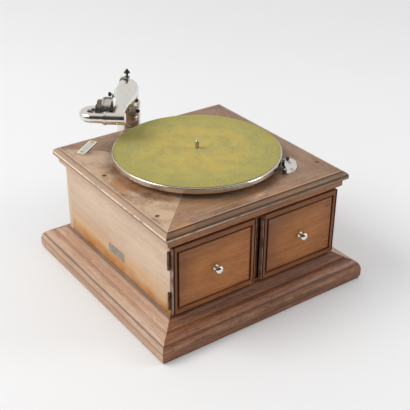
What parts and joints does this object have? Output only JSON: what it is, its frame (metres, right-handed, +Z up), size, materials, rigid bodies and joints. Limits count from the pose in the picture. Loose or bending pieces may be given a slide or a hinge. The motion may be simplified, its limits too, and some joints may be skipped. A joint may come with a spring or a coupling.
{
  "type": "gramophone",
  "caption": "Square oak table gramophone with a felt-covered turntable, a nickel tone arm with goose-neck sound box, a built-in horn behind two doors and a hand crank.",
  "frame": {"origin": "centre of the square plinth's underside, on the surface it stands on", "axes": "+Z up, -Y the front with the two doors, +X the side with the crank"},
  "size_m": [0.5205, 0.4698, 0.3321],
  "materials": {
    "plinth": "stained oak, waxed, worn at the edges",
    "case_oak": "stained oak veneer, satin",
    "frame_oak": "stained oak mouldings, satin",
    "inner_wood": "unpolished wood",
    "nickel": "nickel plating, aged",
    "dark_steel": "blackened steel",
    "ivory_plate": "aged ivory-coloured sheet",
    "brass": "dull brass",
    "rubber": "aged rubber",
    "mica": "split mica sheet",
    "steel": "turned steel",
    "felt": "wool felt, olive, worn",
    "motor_iron": "painted iron, oily",
    "grip_wood": "turned hardwood, dark polish"
  },
  "bodies": {
    "cabinet": {"plinth_front": "plinth", "plinth_back": "plinth", "plinth_left": "plinth", "plinth_right": "plinth", "bottom_board": "inner_wood", "left_side": "case_oak", "right_side": "case_oak", "back_panel": "case_oak", "front_frame": "frame_oak", "cornice": "frame_oak", "top_board": "case_oak", "top_screws": "dark_steel", "name_plate": "brass", "corner_plate": "ivory_plate", "case_hinge_leaves": "brass", "hinge_pins": "brass", "horn": "inner_wood", "sound_conduit": "nickel", "conduit_screws": "dark_steel", "pivot_bracket": "nickel", "pivot_screw": "dark_steel", "upper_plate": "motor_iron", "lower_plate": "motor_iron", "motor_bolts": "steel", "winding_escutcheon": "brass", "brake_plate": "nickel"},
    "left_door": {"left_door_frame": "frame_oak", "left_door_panel": "case_oak", "left_knob": "nickel", "left_door_leaves": "brass"},
    "right_door": {"right_door_frame": "frame_oak", "right_door_panel": "case_oak", "right_knob": "nickel", "right_door_leaves": "brass"},
    "arm": {"arm_elbow": "nickel", "arm_screw": "dark_steel", "tone_arm": "nickel", "cross_tube": "nickel"},
    "sound_box": {"goose_neck": "nickel", "box_isolator": "rubber", "box_back": "nickel", "box_case": "nickel", "box_gaskets": "rubber", "diaphragm": "mica", "stylus_bar": "steel", "needle": "steel"},
    "thumb_screw": {"needle_screw": "dark_steel"},
    "platter": {"turntable": "nickel", "turntable_felt": "felt", "spindle": "steel"},
    "idler": {"idler": "brass"},
    "barrel": {"spring_barrel": "motor_iron", "mainspring": "steel"},
    "arbor": {"barrel_arbor": "steel"},
    "governor": {"governor": "brass"},
    "winding": {"winding_shaft": "steel", "crank": "nickel"},
    "grip": {"crank_grip": "grip_wood"},
    "brake": {"brake_lever": "dark_steel"},
    "speed_knob": {"speed_control": "dark_steel"}
  },
  "joints": [
    {"name": "left_door_hinge", "type": "hinge", "parent": "cabinet", "child": "left_door", "pos_m": [-0.1806, -0.1783, 0.124], "axis": [0, 0, -1], "range_deg": [0, 150]},
    {"name": "right_door_hinge", "type": "hinge", "parent": "cabinet", "child": "right_door", "pos_m": [0.1806, -0.1783, 0.124], "axis": [0, 0, 1], "range_deg": [0, 150]},
    {"name": "arm_swing", "type": "hinge", "parent": "cabinet", "child": "arm", "pos_m": [-0.0135, 0.219, 0.29], "axis": [0, 0, 1], "range_deg": [-10, 80]},
    {"name": "neck_turn", "type": "hinge", "parent": "arm", "child": "sound_box", "pos_m": [-0.10534, 0.10679, 0.29], "axis": [0.7738, -0.6334, 0], "range_deg": [0, 190]},
    {"name": "needle_screw_turn", "type": "hinge", "parent": "sound_box", "child": "thumb_screw", "pos_m": [-0.07759, 0.15964, 0.31348], "axis": [-0.7738, 0.6334, 0], "range_deg": [-180, 180]},
    {"name": "turntable_spin", "type": "hinge", "parent": "cabinet", "child": "platter", "pos_m": [0, 0, 0.2], "axis": [0, 0, 1], "continuous": true},
    {"name": "idler_spin", "type": "hinge", "parent": "cabinet", "child": "idler", "pos_m": [0.01634, 0.04193, 0.16], "axis": [0, 0, 1], "continuous": true},
    {"name": "barrel_spin", "type": "hinge", "parent": "cabinet", "child": "barrel", "pos_m": [0.07928, 0.04467, 0.165], "axis": [0, 0, 1], "continuous": true},
    {"name": "governor_spin", "type": "hinge", "parent": "cabinet", "child": "governor", "pos_m": [-0.029, 0, 0.1685], "axis": [0, 1, 0], "continuous": true},
    {"name": "crank_turn", "type": "hinge", "parent": "cabinet", "child": "winding", "pos_m": [0.178, 0.04467, 0.1343], "axis": [1, 0, 0], "continuous": true},
    {"name": "arbor_turn", "type": "hinge", "parent": "cabinet", "child": "arbor", "pos_m": [0.07928, 0.04467, 0.15], "axis": [0, 0, 1], "continuous": true},
    {"name": "grip_spin", "type": "hinge", "parent": "winding", "child": "grip", "pos_m": [0.265, 0.04467, 0.0393], "axis": [1, 0, 0], "continuous": true},
    {"name": "brake_turn", "type": "hinge", "parent": "cabinet", "child": "brake", "pos_m": [0.09797, -0.13073, 0.228], "axis": [0, 0, 1], "range_deg": [-10, 0.5]},
    {"name": "speed_turn", "type": "hinge", "parent": "cabinet", "child": "speed_knob", "pos_m": [0.13381, -0.09702, 0.226], "axis": [0, 0, 1], "range_deg": [-120, 120]}
  ],
  "couplings": [
    {"joint": "idler_spin", "follows": "turntable_spin", "ratio": -0.2},
    {"joint": "barrel_spin", "follows": "turntable_spin", "ratio": 0.033333},
    {"joint": "governor_spin", "follows": "turntable_spin", "ratio": 44},
    {"joint": "arbor_turn", "follows": "crank_turn", "ratio": 0.3125}
  ]
}
